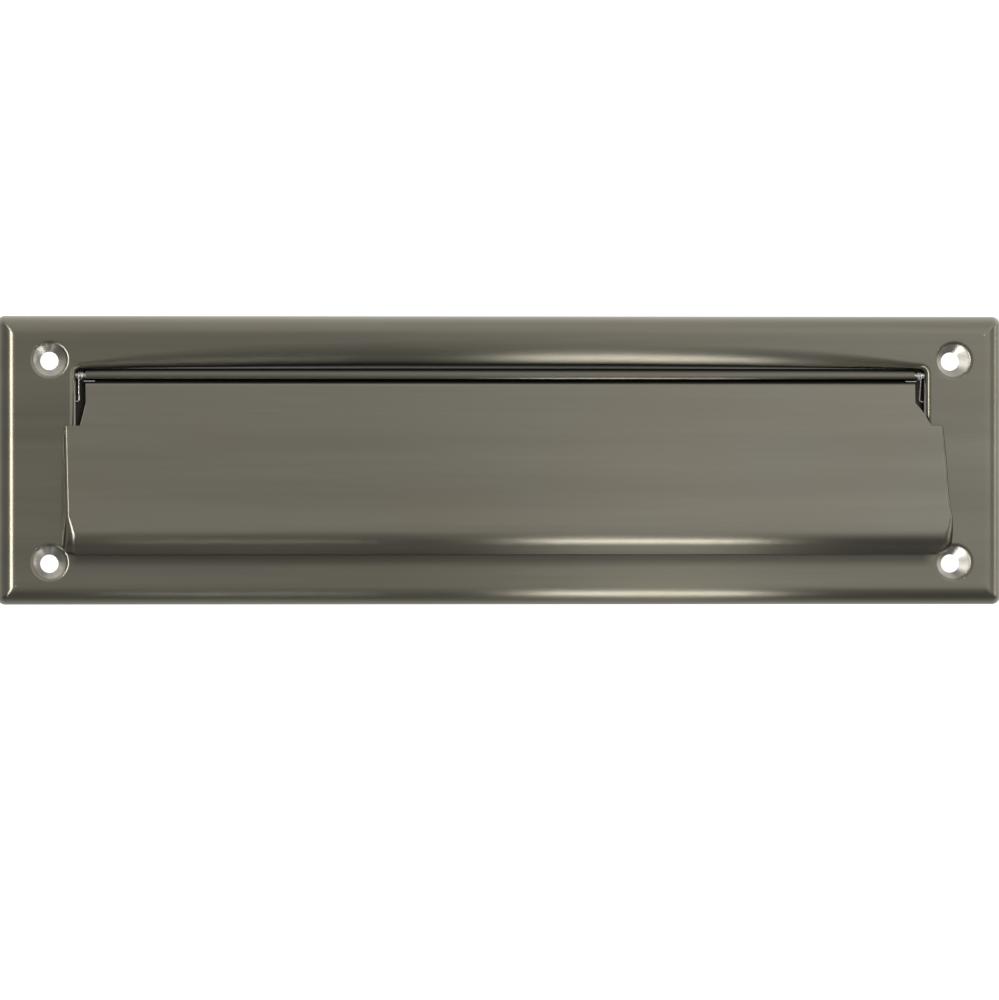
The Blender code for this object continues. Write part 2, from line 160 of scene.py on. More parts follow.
# How finely the curves are cut
ARC_STEPS = 12
CURL_STEPS = 40
RING_STEPS = 96
TOP_LIP_STEPS = 70
DRILL_SIDES = 48
ROD_SIDES = 64
CLIP_SIDES = 72
WIRE_SIDES = 12
WIRE_BEND_STEPS = 6
COIL_STEP = math.radians(10)
NECK_STEPS = 10
WING_STEP = 0.0010  # height between the wings' rows
WING_STEPS_END = -0.0190
LIP_STEPS = 4
FACE_STATIONS = (0.0, 0.0004, 0.0010, 0.0020, 0.0045, 0.012, 0.050)  # distances in from each end of a row
EDGE_ROUND = 0.00012
BEVELLED_FROM = math.radians(60)
SHARP_FROM = math.radians(45)
TURNED_SHARP_FROM = math.radians(40)
WIRE_SHARP_FROM = math.radians(60)
SAME_HEIGHT = 1e-9

# Finish of the plate and the flap, and how dark its painted shade is
PLATE_COLOUR = (0.143, 0.135, 0.107)
FLAP_COLOUR = (0.145, 0.136, 0.109)
LIGHT_BAND = 1.09  # as parts of the colour
DARK_BAND = 0.92
WARM_CLOUD = (1.10, 1.0, 0.86)
# Painted shade: how dark the inside of the opening is made, as parts of the colour
PAINTED_RECESS_SHADE_TONE = 0.25
# Painted shadow: how dark the band under the flap's foot is made, as parts of the colour
PAINTED_SHADOW_TONE = 0.2
RUBBED_EDGE = (0.42, 0.40, 0.36)
# How strongly the painted shadow under the flap's foot darkens the plate and the flap
PLATE_PAINTED_SHADOW = 0.60
FLAP_PAINTED_SHADOW = 0.15
ROUGHNESS = (0.30, 0.35)
ROUGHNESS_CLOUD = 0.015
STREAK_RELIEF = 0.000006
FINE_RELIEF = 0.000002

# Where the painted shade lies: inside the opening, and in a band under the flap's foot
RECESS_SIDES = 0.1426
RECESS_TOP = 0.0330
RECESS_BOTTOM = -0.0253
RECESS_FADE = (0.0002, 0.0012, 0.0005)  # over how much X, Y and Z it fades out
FOOT_BAND_HALF_WIDTH = 0.1450
FOOT_BAND_FADE = 0.0055
FOOT_BAND_ABOVE = (0.0060, 0.0010)  # heights above the foot between which it comes in
FOOT_BAND_BELOW = (0.0050, 0.0012)
PLATE_RECESS_Y = -0.0042
FLAP_RECESS_Y = -0.0056

# Studio: how bright its left and right, its floor and ceiling, and its back are in reflections
STUDIO_SIDES = (0.75, 1.22)
STUDIO_HEIGHTS = (0.22, 1.25)
STUDIO_BACK = 0.95
WHITE_BACKDROP = 1.2

# Camera: how far off and how far round it stands, its height, and the width that it sees
CAMERA_AWAY = 6.0
CAMERA_TURN = math.radians(5.7)
CAMERA_HEIGHT = -0.0131
VIEW_WIDTH = 0.3304


# ------------------------------------------------------------------ helpers


def smooth(t):
    t = min(max(t, 0.0), 1.0)
    return t * t * (3 - 2 * t)


def along(table, height):
    """The value at a height in a table of (height, value) that runs downwards."""
    for (high, above), (low, below) in zip(table, table[1:]):
        if height >= low:
            t = min(max((high - height) / (high - low), 0.0), 1.0)
            return above + (below - above) * t
    return table[-1][1]


def link(name, mesh):
    obj = bpy.data.objects.new(name, mesh)
    bpy.context.scene.collection.objects.link(obj)
    return obj


def bake(obj):
    """Replaces the object's mesh with its evaluated one, so that no modifier is left."""
    bpy.context.view_layer.update()
    graph = bpy.context.evaluated_depsgraph_get()
    mesh = bpy.data.meshes.new_from_object(obj.evaluated_get(graph), depsgraph=graph)
    mesh.name = obj.name
    obj.modifiers.clear()
    obj.data = mesh


def lay_grain(mesh):
    """UVs whose U runs along the brushing, which is along X."""
    layer = mesh.uv_layers.new(name="grain")
    for loop in mesh.loops:
        x, y, z = mesh.vertices[loop.vertex_index].co
        layer.data[loop.index].uv = (4 * x + 1.5 * y, 4 * z + 2.4 * y)


def sheet_object(name, bm, thickness, added=(), cutters=()):
    """An outer surface made solid, joined with what is added, drilled, and given burred-off edges."""
    mesh = bpy.data.meshes.new(name)
    bm.to_mesh(mesh)
    bm.free()
    obj = link(name, mesh)
    solid = obj.modifiers.new("Sheet", "SOLIDIFY")
    solid.thickness = thickness
    solid.offset = -1
    solid.use_even_offset = True
    solid.use_quality_normals = True
    for operation, helpers in (("UNION", added), ("DIFFERENCE", cutters)):
        for helper in helpers:
            step = obj.modifiers.new(helper.name, "BOOLEAN")
            step.operation = operation
            step.object = helper
    edges = obj.modifiers.new("Edges", "BEVEL")
    edges.width = EDGE_ROUND
    edges.segments = 2
    edges.limit_method = "ANGLE"
    edges.angle_limit = BEVELLED_FROM
    bake(obj)
    obj.data.shade_smooth()
    obj.data.set_sharp_from_angle(angle=SHARP_FROM)
    even = obj.modifiers.new("Even shading", "WEIGHTED_NORMAL")
    even.keep_sharp = True
    even.weight = 80
    bake(obj)
    lay_grain(obj.data)
    return obj


def skin_rows(bm, rows, closed=True):
    """Quads between rows of vertices, each row running anticlockwise as seen from outside."""
    for outer, inner in zip(rows, rows[1:]):
        count = len(outer)
        for i in range(count if closed else count - 1):
            j = (i + 1) % count
            bm.faces.new((outer[i], outer[j], inner[j], inner[i]))


def turned(name, profile, steps, x, side):
    """A closed profile of (radius, distance along X) turned about the hinge axis."""
    bm = bmesh.new()
    rows = []
    for step in range(steps):
        angle = 2 * math.pi * step / steps
        row = []
        for radius, distance in profile:
            y = AXIS_Y + radius * math.cos(angle)
            z = AXIS_Z + radius * math.sin(angle)
            row.append(bm.verts.new((x + side * distance, y, z)))
        rows.append(row)
    skin_rows(bm, rows + rows[:1])
    bmesh.ops.recalc_face_normals(bm, faces=bm.faces)
    mesh = bpy.data.meshes.new(name)
    bm.to_mesh(mesh)
    bm.free()
    mesh.shade_smooth()
    mesh.set_sharp_from_angle(angle=TURNED_SHARP_FROM)
    return link(name, mesh)


# --------------------------------------------------------------- face plate


def rounded_rectangle(half_width, half_height, radius):
    points = []
    for corner, (sign_x, sign_z) in enumerate(((1, -1), (1, 1), (-1, 1), (-1, -1))):
        for step in range(ARC_STEPS + 1):
            angle = math.radians(90 * (corner - 1 + step / ARC_STEPS))
            x = sign_x * (half_width - radius) + radius * math.cos(angle)
            z = sign_z * (half_height - radius) + radius * math.sin(angle)
            points.append((x, z))
    return points


def rim_rows(bm):
    rows = []
    for step in range(-1, ARC_STEPS + 1):
        angle = math.radians(90) * (1 - max(step, 0) / ARC_STEPS)
        inset = RIM_RADIUS * (1 - math.sin(angle))
        y = -PLATE_DEPTH + RIM_RADIUS * (1 - math.cos(angle)) if step >= 0 else 0.0
        corner = max(PLATE_CORNER - inset, SHARPEST_CORNER)
        outline = rounded_rectangle(PLATE_WIDTH / 2 - inset, PLATE_HEIGHT / 2 - inset, corner)
        rows.append([bm.verts.new((x, y, z)) for x, z in outline])
    return rows


def top_lip(inset):
    """The top lip's depth and width at a distance in from its end."""
    for (near, *low), (far, *high) in zip(TOP_LIP, TOP_LIP[1:]):
        if inset <= far:
            t = (inset - near) / (far - near)
            return [a + (b - a) * t for a, b in zip(low, high)]
    return TOP_LIP[-1][1:]


def opening_edge():
    """(x, z, outward x, outward z, lip depth, lip width) round the opening."""
    edge = []
    middle_x = OPENING_HALF_WIDTH - OPENING_CORNER
    low, high = OPENING_BOTTOM + OPENING_CORNER, OPENING_TOP - OPENING_CORNER
    for corner, (sign_x, z) in enumerate(((1, low), (1, high), (-1, high), (-1, low))):
        for step in range(ARC_STEPS + 1):
            angle = math.radians(90 * (corner - 1 + step / ARC_STEPS))
            out_x, out_z = math.cos(angle), math.sin(angle)
            x = sign_x * middle_x + OPENING_CORNER * out_x
            edge.append((x, z + OPENING_CORNER * out_z, out_x, out_z, *SIDE_LIP))
        if corner == 1:
            for step in range(1, TOP_LIP_STEPS):
                x = middle_x * math.cos(math.pi * step / TOP_LIP_STEPS)
                edge.append((x, OPENING_TOP, 0.0, 1.0, *top_lip(middle_x - abs(x))))
    return edge


def lip_rows(bm):
    edge = opening_edge()
    rows = []
    for step in range(ARC_STEPS + 1):
        angle = math.radians(90) * step / ARC_STEPS
        row = []
        for x, z, out_x, out_z, depth, width in edge:
            out = width * (1 - math.sin(angle))
            y = -PLATE_DEPTH + depth * (1 - math.cos(angle))
            row.append(bm.verts.new((x + out_x * out, y, z + out_z * out)))
        rows.append(row)
    rows.append([bm.verts.new((x, COLLAR_BACK, z)) for x, z, *_ in edge])
    return rows


def arch(half_width, top, radius):
    """(x, z) points up one side of the hood, over its top and down the other side."""
    points = [(half_width, HOOD_FOOT)]
    for quarter, sign_x in ((0, 1), (1, -1)):
        for step in range(ARC_STEPS + 1):
            angle = math.radians(90 * (quarter + step / ARC_STEPS))
            x = sign_x * (half_width - radius) + radius * math.cos(angle)
            points.append((x, top - radius + radius * math.sin(angle)))
    return points + [(-half_width, HOOD_FOOT)]


def hood_outline():
    """(x, z) points of the hood, an upside-down U whose outer edge runs inside the collar's sheet."""
    grown = PLATE_SHEET / 2
    outer = arch(OPENING_HALF_WIDTH + grown, OPENING_TOP + grown, OPENING_CORNER + grown)
    inner = arch(HOOD_HALF_WIDTH, HOOD_TOP, HOOD_CORNER)
    return outer + inner[::-1]


def make_hood():
    bm = bmesh.new()
    front = [bm.verts.new((x, HOOD_BACK - PLATE_SHEET, z)) for x, z in hood_outline()]
    back = [bm.verts.new((v.co.x, HOOD_BACK, v.co.z)) for v in front]
    bm.faces.new(front)
    bm.faces.new(back)
    skin_rows(bm, [front, back])
    bmesh.ops.recalc_face_normals(bm, faces=bm.faces)
    mesh = bpy.data.meshes.new("hood")
    bm.to_mesh(mesh)
    bm.free()
    return link("hood", mesh)


def dimple_profile():
    points = []
    for step in range(ARC_STEPS + 1):
        angle = DIMPLE_SLOPE * step / ARC_STEPS
        radius = DIMPLE_RADIUS - DIMPLE_SHOULDER * math.sin(angle)
        points.append((radius, DIMPLE_SHOULDER * (1 - math.cos(angle))))
    radius, depth = points[-1]
    points.append((HOLE_RADIUS, depth + (radius - HOLE_RADIUS) * math.tan(DIMPLE_SLOPE)))
    return points


def dimple_rows(bm, hole_x, hole_z):
    """Rings from the dimple's edge to the hole, which isn't quite in its middle."""
    drift_x, drift_z = RIGHT_DRIFT if hole_x > 0 else LEFT_DRIFT
    rows = []
    for radius, depth in dimple_profile():
        drift = (radius - HOLE_RADIUS) / (DIMPLE_RADIUS - HOLE_RADIUS)
        row = []
        for step in range(RING_STEPS):
            angle = 2 * math.pi * step / RING_STEPS
            x = hole_x + drift_x * drift + radius * math.cos(angle)
            z = hole_z + drift_z * drift + radius * math.sin(angle)
            row.append(bm.verts.new((x, -PLATE_DEPTH + depth, z)))
        rows.append(row)
    return rows


def ring_edges(bm, row):
    return [bm.edges.get((a, b)) or bm.edges.new((a, b)) for a, b in zip(row, row[1:] + row[:1])]


def drill(name, y, z, radius):
    bpy.ops.mesh.primitive_cylinder_add(
        vertices=DRILL_SIDES,
        radius=radius,
        depth=2 * (OPENING_HALF_WIDTH + 2 * PLATE_SHEET),
        location=(0, y, z),
        rotation=(0, math.radians(90), 0),
    )
    bpy.context.object.name = name
    return bpy.context.object


def make_face_plate():
    bm = bmesh.new()
    rim = rim_rows(bm)
    lip = lip_rows(bm)
    dimples = [dimple_rows(bm, x, z) for x in (-HOLE_X, HOLE_X) for z in HOLE_HEIGHTS]
    for rows in (rim, lip, *dimples):
        skin_rows(bm, rows)
    flat = ring_edges(bm, rim[-1]) + ring_edges(bm, lip[0])
    for rows in dimples:
        flat += ring_edges(bm, rows[0])
    bmesh.ops.triangle_fill(bm, edges=flat, use_beauty=True, normal=(0, -1, 0))
    drills = [
        drill("rod_drill", AXIS_Y, AXIS_Z, ROD_RADIUS + RUNNING_GAP),
        drill("leg_drill", *LEG_HOLE, LEG_HOLE_RADIUS),
    ]
    hood = make_hood()
    plate = sheet_object("nickel_face_plate", bm, PLATE_SHEET, [hood], drills)
    for used in [hood, *drills]:
        bpy.data.objects.remove(used, do_unlink=True)
    return plate


# --------------------------------------------------------------------- flap


def crossing(point_a, angle_a, point_b, angle_b):
    """Where two lines in the (y, z) plane cross. Each has a point and an angle above +Y."""
    ay, az = math.cos(angle_a), math.sin(angle_a)
    by, bz = math.cos(angle_b), math.sin(angle_b)
    gap_y, gap_z = point_b[0] - point_a[0], point_b[1] - point_a[1]
    t = (gap_y * bz - gap_z * by) / (ay * bz - az * by)
    return point_a[0] + ay * t, point_a[1] + az * t


def fillet(before, corner, after, radius, steps):
    """Points of an arc that rounds a corner of a path in the (y, z) plane."""
    into = math.atan2(corner[1] - before[1], corner[0] - before[0])
    out = math.atan2(after[1] - corner[1], after[0] - corner[0])
    turn = (out - into + math.pi) % (2 * math.pi) - math.pi
    side = math.copysign(1, turn)
    tangent = radius * math.tan(abs(turn) / 2)
    start = (corner[0] - tangent * math.cos(into), corner[1] - tangent * math.sin(into))
    centre = (start[0] - side * radius * math.sin(into), start[1] + side * radius * math.cos(into))
    points = []
    for step in range(steps + 1):
        angle = into - side * math.pi / 2 + turn * step / steps
        points.append((centre[0] + radius * math.cos(angle), centre[1] + radius * math.sin(angle)))
    return points


def flap_profile():
    """The flap's outer surface as a path in the (y, z) plane, from the curl's end down to the foot."""
    curl_radius = ROD_RADIUS + RUNNING_GAP
    curl_start = LEDGE_RISE - math.radians(90)
    curl = []
    for step in range(CURL_STEPS + 1):
        angle = CURL_END + (curl_start - CURL_END) * step / CURL_STEPS
        curl.append((AXIS_Y + curl_radius * math.cos(angle), AXIS_Z + curl_radius * math.sin(angle)))
    face = (FLAP_TOP_Y, FLAP_TOP), math.radians(90) - FLAP_LEAN
    foot = (FOOT_Y, FLAP_BOTTOM)
    brow = crossing(curl[-1], LEDGE_RISE, *face)
    heel = crossing(foot, LOWER_BEND_ANGLE - math.radians(90), *face)
    brow_arc = fillet(curl[-1], brow, heel, BROW_RADIUS, ARC_STEPS)
    heel_arc = fillet(brow, heel, foot, LOWER_BEND_RADIUS, 2 * ARC_STEPS)
    neck_top = LEFT_NECK[0][0]
    heights = [SHOULDER_Z + (neck_top - SHOULDER_Z) * i / NECK_STEPS for i in range(NECK_STEPS, -1, -1)]
    wing_steps = int((SHOULDER_Z - WING_STEPS_END) / WING_STEP)
    heights += [SHOULDER_Z - WING_STEP * i for i in range(1, wing_steps + 1)]
    straight = [(FLAP_TOP_Y - (FLAP_TOP - z) * math.tan(FLAP_LEAN), z) for z in heights]
    lip = []
    for i in range(1, LIP_STEPS):
        lip.append(tuple(a + (b - a) * i / LIP_STEPS for a, b in zip(heel_arc[-1], foot)))
    return curl + brow_arc + straight + heel_arc + lip + [foot]


def wing_side(y, z, side):
    """(x, y) from the edge that rests by the plate, up the turned-back side, to the flat of the face."""
    wing, flare, corner = LEFT_WING, LEFT_FLARE, LEFT_CORNER
    if side > 0:
        wing, flare, corner = RIGHT_WING, RIGHT_FLARE, RIGHT_CORNER
    into_corner = min(max(FLAP_BOTTOM + corner - z, 0.0), corner)
    cut_in = corner - math.sqrt(corner**2 - into_corner**2)
    base = along(wing, z) - cut_in
    depth = WING_BASE_Y - y
    grows_from, grows_to = WING_BEND_GROWS
    bend = WING_BEND + (WING_BEND_LOW - WING_BEND) * smooth((grows_from - z) / (grows_from - grows_to))
    bend_depth = min(bend, depth * MOST_BEND)
    foot_of_bend = y + bend_depth
    wall_top = base - flare * (WING_BASE_Y - foot_of_bend)
    points = [(base, WING_BASE_Y), ((base + wall_top) / 2, (WING_BASE_Y + foot_of_bend) / 2)]
    for step in range(ARC_STEPS + 1):
        angle = math.radians(90) * step / ARC_STEPS
        x = wall_top - bend * (1 - math.cos(angle))
        points.append((x, y + bend_depth * (1 - math.sin(angle))))
    return [(side * x, point_y) for x, point_y in points]


def flap_rows(bm):
    """(neck rows, wing rows) of vertices from left to right. They share the row at the shoulders."""
    neck, wings = [], []
    for y, z in flap_profile():
        left, right = FLAP_HALF_WIDTH, FLAP_HALF_WIDTH
        if z < LEFT_NECK[0][0]:
            left, right = along(LEFT_NECK, z), along(RIGHT_NECK, z)
        narrowing = FACE_NARROWS * smooth((SHOULDER_Z - z) / FACE_NARROWS_OVER)
        left, right = left - narrowing, right - narrowing
        stations = [-left + inset for inset in FACE_STATIONS] + [0.0]
        stations += [right - inset for inset in reversed(FACE_STATIONS)]
        row = [bm.verts.new((x, y, z)) for x in stations]
        if z > SHOULDER_Z - SAME_HEIGHT:
            neck.append(row)
        if z < SHOULDER_Z + SAME_HEIGHT:
            left_side = [bm.verts.new((x, py, z)) for x, py in wing_side(y, z, -1)]
            right_side = [bm.verts.new((x, py, z)) for x, py in wing_side(y, z, 1)]
            wings.append(left_side + row + right_side[::-1])
    return neck, wings


def make_flap():
    bm = bmesh.new()
    for rows in flap_rows(bm):
        skin_rows(bm, rows, closed=False)
    for face in bm.faces:
        face.normal_update()
    if sum(face.calc_area() * face.normal.y for face in bm.faces) > 0:
        bmesh.ops.reverse_faces(bm, faces=bm.faces)
    return sheet_object("nickel_flap", bm, FLAP_SHEET)


# -------------------------------------------------------------------- hinge


def make_rod():
    length = 2 * ROD_HALF_LENGTH
    profile = (
        (ROD_CENTRE_HOLE, 0.0),
        (ROD_RADIUS - ROD_CHAMFER, 0.0),
        (ROD_RADIUS, ROD_CHAMFER),
        (ROD_RADIUS, length - ROD_CHAMFER),
        (ROD_RADIUS - ROD_CHAMFER, length),
        (ROD_CENTRE_HOLE, length),
    )
    return turned("steel_hinge_rod", profile, ROD_SIDES, -ROD_HALF_LENGTH, 1)


def make_clip(name, side):
    """A dished push-on clip whose teeth grip the rod."""
    rim, foot = CLIP_RADIUS, CLIP_RADIUS - CLIP_RIM
    profile = (
        (rim, CLIP_THICKNESS),
        (rim, 0.0),
        (foot, 0.0),
        (CLIP_BORE, CLIP_DISH),
        (CLIP_BORE, CLIP_DISH + CLIP_THICKNESS),
        (foot, CLIP_THICKNESS),
    )
    clip = turned(name, profile, CLIP_SIDES, side * CLIP_X, side)
    for vertex in clip.data.vertices:
        y, z = vertex.co.y - AXIS_Y, vertex.co.z - AXIS_Z
        radius = math.hypot(y, z)
        if radius < (CLIP_BORE + foot) / 2:
            wave = math.cos(CLIP_TEETH * math.atan2(z, y))
            new_radius = NOTCH_RADIUS if wave > NOTCH_SHARE else TOOTH_RADIUS
            vertex.co.y = AXIS_Y + y * new_radius / radius
            vertex.co.z = AXIS_Z + z * new_radius / radius
    return clip


def spring_path(side):
    """Points along the wire: fixed leg, coil round the rod, moving leg on the flap's ledge."""
    inner_x = FLAP_HALF_WIDTH + RUNNING_GAP + WIRE_RADIUS
    hole_y, hole_z = LEG_HOLE[0] - AXIS_Y, LEG_HOLE[1] - AXIS_Z
    rest_y, rest_z = LEG_REST[0] - AXIS_Y, LEG_REST[1] - AXIS_Z
    first = math.atan2(hole_z, hole_y) % (2 * math.pi)
    first -= math.acos(COIL_RADIUS / math.hypot(hole_y, hole_z))
    last = math.atan2(rest_z, rest_y) + math.acos(COIL_RADIUS / math.hypot(rest_y, rest_z))
    last -= 2 * math.pi * FULL_TURNS
    points = [(LEG_OUT_X, *LEG_HOLE)]
    for step in range(WIRE_BEND_STEPS + 1):
        angle = math.radians(90) * step / WIRE_BEND_STEPS
        x = LEG_DROP_X + LEG_BEND * (1 - math.sin(angle))
        points.append((x, LEG_HOLE[0], LEG_HOLE[1] + LEG_BEND * (1 - math.cos(angle))))
    steps = round((first - last) / COIL_STEP)
    for step in range(steps + 1):
        t = step / steps
        angle = first + (last - first) * t
        y = AXIS_Y + COIL_RADIUS * math.cos(angle)
        z = AXIS_Z + COIL_RADIUS * math.sin(angle)
        points.append((COIL_OUTER_X + (inner_x - COIL_OUTER_X) * t, y, z))
    for step in range(WIRE_BEND_STEPS + 1):
        angle = math.radians(90) * step / WIRE_BEND_STEPS
        y = LEG_REST[0] + REST_BEND * (1 - math.sin(angle))
        points.append((inner_x - REST_BEND * (1 - math.cos(angle)), y, LEG_REST[1]))
    points.append((LEG_REST_X, *LEG_REST))
    return [Vector((side * x, y, z)) for x, y, z in points]


def make_spring(name, side):
    """The wire as a tube round its path."""
    path = spring_path(side)
    bm = bmesh.new()
    rows = []
    across = None
    for i, point in enumerate(path):
        ahead = path[min(i + 1, len(path) - 1)] - path[max(i - 1, 0)]
        ahead.normalize()
        if across is None:
            across = ahead.orthogonal()
        across = (across - ahead * across.dot(ahead)).normalized()
        up = ahead.cross(across)
        row = []
        for step in range(WIRE_SIDES):
            angle = 2 * math.pi * step / WIRE_SIDES
            ring = across * math.cos(angle) + up * math.sin(angle)
            row.append(bm.verts.new(point + ring * WIRE_RADIUS))
        rows.append(row)
    skin_rows(bm, rows)
    bm.faces.new(rows[0])
    bm.faces.new(rows[-1])
    bmesh.ops.recalc_face_normals(bm, faces=bm.faces)
    mesh = bpy.data.meshes.new(name)
    bm.to_mesh(mesh)
    bm.free()
    mesh.shade_smooth()
    mesh.set_sharp_from_angle(angle=WIRE_SHARP_FROM)
    return link(name, mesh)


# ---------------------------------------------------------------- materials


class Nodes:
    """A short way to write the nodes of a material or a world."""

    def __init__(self, owner, coordinates="Object"):
        owner.use_nodes = True
        self.owner = owner
        self.tree = owner.node_tree
        self.shader = self.tree.nodes.get("Principled BSDF")
        self.place = self.add("ShaderNodeTexCoord").outputs[coordinates]

    def add(self, kind, **settings):
        node = self.tree.nodes.new(kind)
        for key, value in settings.items():
            setattr(node, key, value)
        return node

    def join(self, source, target):
        self.tree.links.new(source, target)

    def noise(self, scale, stretch, detail=4.0, roughness=0.55, shift=(0, 0, 0)):
        """Noise whose features are 1/scale long, divided along each axis by stretch."""
        mapping = self.add("ShaderNodeMapping")
        mapping.inputs["Scale"].default_value = stretch
        mapping.inputs["Location"].default_value = shift
        self.join(self.place, mapping.inputs["Vector"])
        texture = self.add("ShaderNodeTexNoise")
        texture.inputs["Scale"].default_value = scale
        texture.inputs["Detail"].default_value = detail
        texture.inputs["Roughness"].default_value = roughness
        self.join(mapping.outputs["Vector"], texture.inputs["Vector"])
        return texture.outputs["Fac"]

    def fit(self, value, low, high, to_low, to_high, interpolation="LINEAR"):
        node = self.add("ShaderNodeMapRange", interpolation_type=interpolation)
        node.inputs["From Min"].default_value = low
        node.inputs["From Max"].default_value = high
        node.inputs["To Min"].default_value = to_low
        node.inputs["To Max"].default_value = to_high
        self.join(value, node.inputs["Value"])
        return node.outputs["Result"]

    def math(self, operation, a, b):
        node = self.add("ShaderNodeMath", operation=operation)
        for socket, value in zip(node.inputs, (a, b)):
            if isinstance(value, (int, float)):
                socket.default_value = value
            else:
                self.join(value, socket)
        return node.outputs["Value"]

    def mix(self, factor, a, b, blend="MIX"):
        node = self.add("ShaderNodeMix", data_type="RGBA", blend_type=blend)
        if isinstance(factor, (int, float)):
            node.inputs[0].default_value = factor
        else:
            self.join(factor, node.inputs[0])
        for socket, value in ((node.inputs[6], a), (node.inputs[7], b)):
            if isinstance(value, tuple):
                socket.default_value = (*value, 1.0)
            else:
                self.join(value, socket)
        return node.outputs[2]

    def axes(self):
        """The X, Y and Z of the place."""
        split = self.add("ShaderNodeSeparateXYZ")
        self.join(self.place, split.inputs[0])
        return split.outputs

    def shade_in_recess(self, depth):
        """The mask of the painted shade inside the opening: 1 inside the opening and behind this depth, 0
        outside.
        """
        x, y, z = self.axes()
        fade_x, fade_y, fade_z = RECESS_FADE
        behind = self.fit(y, depth, depth + fade_y, 0.0, 1.0)
        within = self.fit(self.math("ABSOLUTE", x, 0.0), RECESS_SIDES, RECESS_SIDES - fade_x, 0.0, 1.0)
        below = self.fit(z, RECESS_TOP, RECESS_TOP - fade_z, 0.0, 1.0)
        above = self.fit(z, RECESS_BOTTOM, RECESS_BOTTOM + fade_z, 0.0, 1.0)
        inside = self.math("MULTIPLY", within, self.math("MULTIPLY", below, above))
        return self.math("MULTIPLY", behind, inside)

    def shadow_under_flap(self):
        """The mask of the painted shadow: 1 just under the flap's foot, fading downwards and towards the
        flap's ends.
        """
        x, _, z = self.axes()
        off, full = FOOT_BAND_HALF_WIDTH, FOOT_BAND_HALF_WIDTH - FOOT_BAND_FADE
        within = self.fit(self.math("ABSOLUTE", x, 0.0), off, full, 0.0, 1.0, "SMOOTHSTEP")
        off, full = (FLAP_BOTTOM + rise for rise in FOOT_BAND_ABOVE)
        above = self.fit(z, off, full, 0.0, 1.0, "SMOOTHSTEP")
        off, full = (FLAP_BOTTOM - drop for drop in FOOT_BAND_BELOW)
        below = self.fit(z, off, full, 0.0, 1.0, "SMOOTHSTEP")
        return self.math("MULTIPLY", within, self.math("MULTIPLY", above, below))

    def bump(self, height, distance, strength=1.0, before=None):
        node = self.add("ShaderNodeBump")
        node.inputs["Distance"].default_value = distance
        node.inputs["Strength"].default_value = strength
        self.join(height, node.inputs["Height"])
        if before is not None:
            self.join(before, node.inputs["Normal"])
        return node.outputs["Normal"]


def brushed_nickel(name, colour, shift, recess_y, painted_shadow_strength):
    """Dark antique nickel, brushed along X, with soft bands, fine scratches and rubbed edges, and with
    painted
    shade: darker colour inside the opening beyond recess_y, and a painted shadow under the flap's foot."""
    n = Nodes(bpy.data.materials.new(name))
    streaks = n.noise(1.0, (9, 700, 700), detail=6, roughness=0.7, shift=shift)
    fine = n.noise(1.0, (30, 3200, 3200), detail=3, roughness=0.6, shift=shift)
    bands = n.noise(1.0, (3, 75, 75), detail=3, roughness=0.5, shift=shift)
    clouds = n.noise(1.0, (14, 22, 22), detail=2, shift=shift)
    light = tuple(c * LIGHT_BAND for c in colour)
    dark = tuple(c * DARK_BAND for c in colour)
    base = n.mix(n.fit(bands, 0.35, 0.65, 0.0, 1.0), dark, light)
    streak_tone = n.fit(streaks, 0.3, 0.7, 0.965, 1.035)
    tone = n.math("MULTIPLY", streak_tone, n.fit(fine, 0.3, 0.7, 0.97, 1.03))
    grey = n.add("ShaderNodeCombineColor")
    for socket in grey.inputs:
        n.join(tone, socket)
    base = n.mix(1.0, base, grey.outputs["Color"], blend="MULTIPLY")
    warm = tuple(c * k for c, k in zip(colour, WARM_CLOUD))
    base = n.mix(n.fit(clouds, 0.45, 0.75, 0.0, 0.35), base, warm)
    geometry = n.add("ShaderNodeNewGeometry")
    rubbed = n.fit(geometry.outputs["Pointiness"], 0.56, 0.66, 0.0, 0.7)
    base = n.mix(rubbed, base, RUBBED_EDGE)
    # Painted shadow: a darker band on the plate just under the flap's foot, and faintly on the flap's lower
    # lip
    painted_shadow_amount = n.math("MULTIPLY", n.shadow_under_flap(), painted_shadow_strength)
    base = n.mix(painted_shadow_amount, base, tuple(c * PAINTED_SHADOW_TONE for c in colour))
    # Painted shade: the inside of the opening made darker
    base = n.mix(n.shade_in_recess(recess_y), base, tuple(c * PAINTED_RECESS_SHADE_TONE for c in colour))
    n.join(base, n.shader.inputs["Base Color"])
    cloud = n.fit(clouds, 0.3, 0.7, -ROUGHNESS_CLOUD, ROUGHNESS_CLOUD)
    rough = n.math("ADD", n.fit(streaks, 0.3, 0.7, *ROUGHNESS), cloud)
    n.join(rough, n.shader.inputs["Roughness"])
    n.shader.inputs["Metallic"].default_value = 1.0
    n.shader.inputs["Anisotropic"].default_value = 0.8
    n.shader.inputs["Anisotropic Rotation"].default_value = 0.25
    grain = n.add("ShaderNodeTangent", direction_type="UV_MAP", uv_map="grain")
    n.join(grain.outputs["Tangent"], n.shader.inputs["Tangent"])
    relief = n.bump(streaks, STREAK_RELIEF)
    relief = n.bump(fine, FINE_RELIEF, before=relief)
    n.join(relief, n.shader.inputs["Normal"])
    return n.owner


